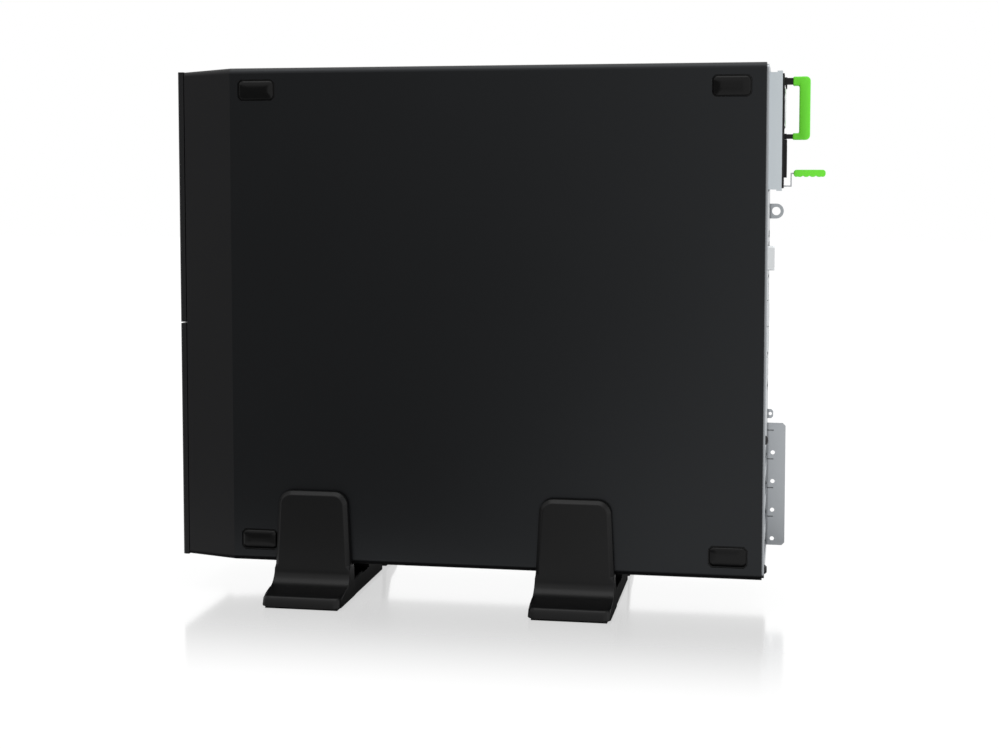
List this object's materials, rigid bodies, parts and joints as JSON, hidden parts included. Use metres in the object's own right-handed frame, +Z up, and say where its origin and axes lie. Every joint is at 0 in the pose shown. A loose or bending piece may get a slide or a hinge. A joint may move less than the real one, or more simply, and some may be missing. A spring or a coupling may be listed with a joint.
{
  "type": "tower server",
  "caption": "Slim black tower server on two clip-on stands, with a hot-plug power supply on a green grip, slotted drive door, optical drive and rear card slots.",
  "frame": {"origin": "on the floor, under the middle of the part's outer box", "axes": "+Z up; the front faces -Y and the rear with the ports faces +Y; +X is the side with the pads"},
  "size_m": [0.17, 0.4394, 0.364],
  "materials": {
    "black_panel": "satin black powder coat, fine texture",
    "black_moulding": "fine-grained black moulding",
    "stand_moulding": "fine-grained black moulding with bright edges",
    "fan_moulding": "smooth black moulding",
    "rubber": "soft black rubber",
    "zinc_steel": "zinc-plated sheet",
    "supply_steel": "light grey plated sheet",
    "bright_wire": "bright plated wire",
    "green_touch": "satin bright green moulding",
    "black_screw": "black oxide",
    "circuit_board": "green solder mask",
    "sink_aluminium": "plain aluminium",
    "port_shell": "tinned shell",
    "pillar_brass": "plain brass",
    "light_guide": "clear light guide"
  },
  "bodies": {
    "chassis": {"right_panel": "black_panel", "front_bezel": "black_moulding", "front_cover": "black_moulding", "drive_carriers": "black_moulding", "memory_sockets": "black_moulding", "expansion_slots": "black_moulding", "cpu_socket": "black_moulding", "stand_front_right": "stand_moulding", "stand_front_left": "stand_moulding", "stand_rear_right": "stand_moulding", "stand_rear_left": "stand_moulding", "fan_holder": "fan_moulding", "fan_frames": "fan_moulding", "side_pads": "rubber", "stand_soles": "rubber", "chassis_tray": "zinc_steel", "rear_panel": "zinc_steel", "slot_covers": "zinc_steel", "front_wall": "zinc_steel", "drive_cage": "zinc_steel", "psu_bay": "zinc_steel", "psu_blank": "zinc_steel", "padlock_eye": "zinc_steel", "odd_body": "zinc_steel", "door_pins": "bright_wire", "carrier_levers": "green_touch", "rear_screws": "black_screw", "board_screws": "black_screw", "mainboard": "circuit_board", "drive_backplane": "circuit_board", "power_board": "circuit_board", "control_board": "circuit_board", "memory_modules": "circuit_board", "cpu_heat_sink": "sink_aluminium", "chipset_heat_sink": "sink_aluminium", "disk_drives": "sink_aluminium", "front_usb_ports": "port_shell", "rear_usb_ports": "port_shell", "network_ports": "port_shell", "video_port": "port_shell", "board_standoffs": "pillar_brass", "status_lights": "light_guide"},
    "access_cover": {"access_cover": "black_panel", "cover_screw": "black_screw"},
    "drive_door": {"drive_door": "black_moulding"},
    "power_button": {"power_button": "black_moulding"},
    "id_button": {"id_button": "black_moulding"},
    "odd_tray": {"odd_tray": "black_moulding"},
    "odd_eject": {"odd_eject_button": "black_moulding"},
    "fan_lower": {"fan_rotor_lower": "fan_moulding"},
    "fan_upper": {"fan_rotor_upper": "fan_moulding"},
    "psu": {"psu_case": "supply_steel", "psu_end_plate": "black_moulding", "psu_grip": "green_touch", "psu_fan_guard": "bright_wire", "psu_fan_frame": "fan_moulding", "psu_inlet": "black_moulding"},
    "psu_rotor": {"psu_fan_rotor": "fan_moulding"},
    "psu_latch": {"psu_latch": "zinc_steel", "psu_latch_cap": "green_touch"}
  },
  "joints": [
    {"name": "access_cover_slide", "type": "slide", "parent": "chassis", "child": "access_cover", "axis": [0, 1, 0], "range_m": [0, 0.012]},
    {"name": "drive_door_hinge", "type": "hinge", "parent": "chassis", "child": "drive_door", "pos_m": [-0.0445, -0.2175, 0.1074], "axis": [0, 0, -1], "range_deg": [0, 110]},
    {"name": "power_button_press", "type": "slide", "parent": "chassis", "child": "power_button", "axis": [0, 1, 0], "range_m": [0, 0.0012], "stiffness_N_per_m": 800},
    {"name": "id_button_press", "type": "slide", "parent": "chassis", "child": "id_button", "axis": [0, 1, 0], "range_m": [0, 0.0012], "stiffness_N_per_m": 600},
    {"name": "odd_tray_slide", "type": "slide", "parent": "chassis", "child": "odd_tray", "axis": [0, -1, 0], "range_m": [0, 0.12]},
    {"name": "odd_eject_press", "type": "slide", "parent": "odd_tray", "child": "odd_eject", "axis": [0, 1, 0], "range_m": [0, 0.0008], "stiffness_N_per_m": 600},
    {"name": "fan_lower_spin", "type": "hinge", "parent": "chassis", "child": "fan_lower", "pos_m": [-0.003, -0.0662, 0.0681], "axis": [0, 1, 0], "continuous": true},
    {"name": "fan_upper_spin", "type": "hinge", "parent": "chassis", "child": "fan_upper", "pos_m": [-0.003, -0.0662, 0.1501], "axis": [0, 1, 0], "continuous": true},
    {"name": "psu_slide", "type": "slide", "parent": "chassis", "child": "psu", "axis": [0, 1, 0], "range_m": [0, 0.17]},
    {"name": "psu_fan_spin", "type": "hinge", "parent": "psu", "child": "psu_rotor", "pos_m": [0.0205, 0.1772, 0.3352], "axis": [0, 1, 0], "continuous": true},
    {"name": "psu_latch_press", "type": "hinge", "parent": "psu", "child": "psu_latch", "pos_m": [0.0205, 0.1674, 0.2837], "axis": [1, 0, 0], "range_deg": [0, 4], "stiffness_Nm_per_rad": 0.6}
  ]
}
